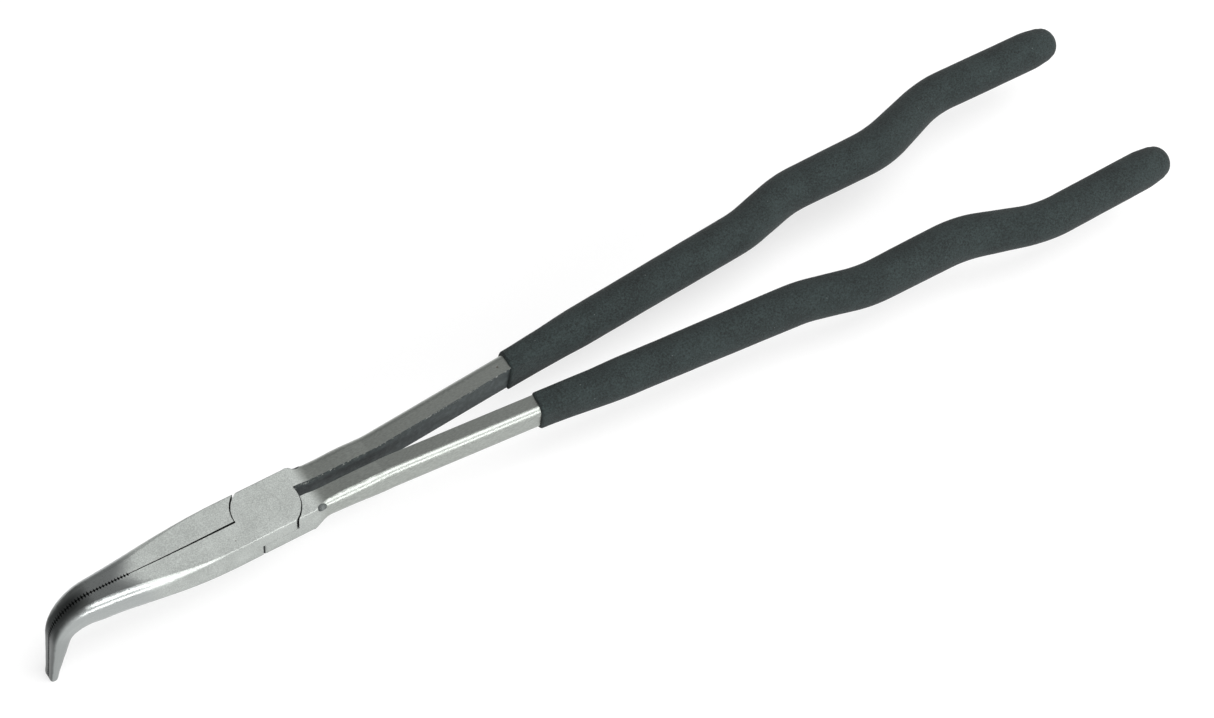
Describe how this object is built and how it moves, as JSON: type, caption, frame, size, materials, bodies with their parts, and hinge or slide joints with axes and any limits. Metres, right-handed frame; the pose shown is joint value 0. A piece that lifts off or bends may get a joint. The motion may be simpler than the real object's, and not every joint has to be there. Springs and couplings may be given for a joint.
{
  "type": "bent nose pliers",
  "caption": "Long-reach pliers: slim serrated jaws bent down at a right angle, a flush-riveted lap joint, long shanks and foam-covered handles.",
  "frame": {"origin": "on the pivot axis, half way through the lap joint", "axes": "+Z along the pivot axis, away from the side the nose is bent to; +X from the joint towards the nose; +Y towards the jaw of lever A"},
  "size_m": [0.3999, 0.0758, 0.0331],
  "materials": {
    "steel": "satin, polished darker over the nose",
    "rivet": "satin, ground flush",
    "foam": "matt, fine grained"
  },
  "bodies": {
    "lever_a": {"jaw_lever_a": "steel", "pivot_rivet": "rivet", "grip_a": "foam"},
    "lever_b": {"jaw_lever_b": "steel", "grip_b": "foam"}
  },
  "joints": [
    {"name": "pivot_hinge", "type": "hinge", "parent": "lever_a", "child": "lever_b", "pos_m": [0, 0, 0], "axis": [0, 0, -1], "range_deg": [0, 45]}
  ]
}
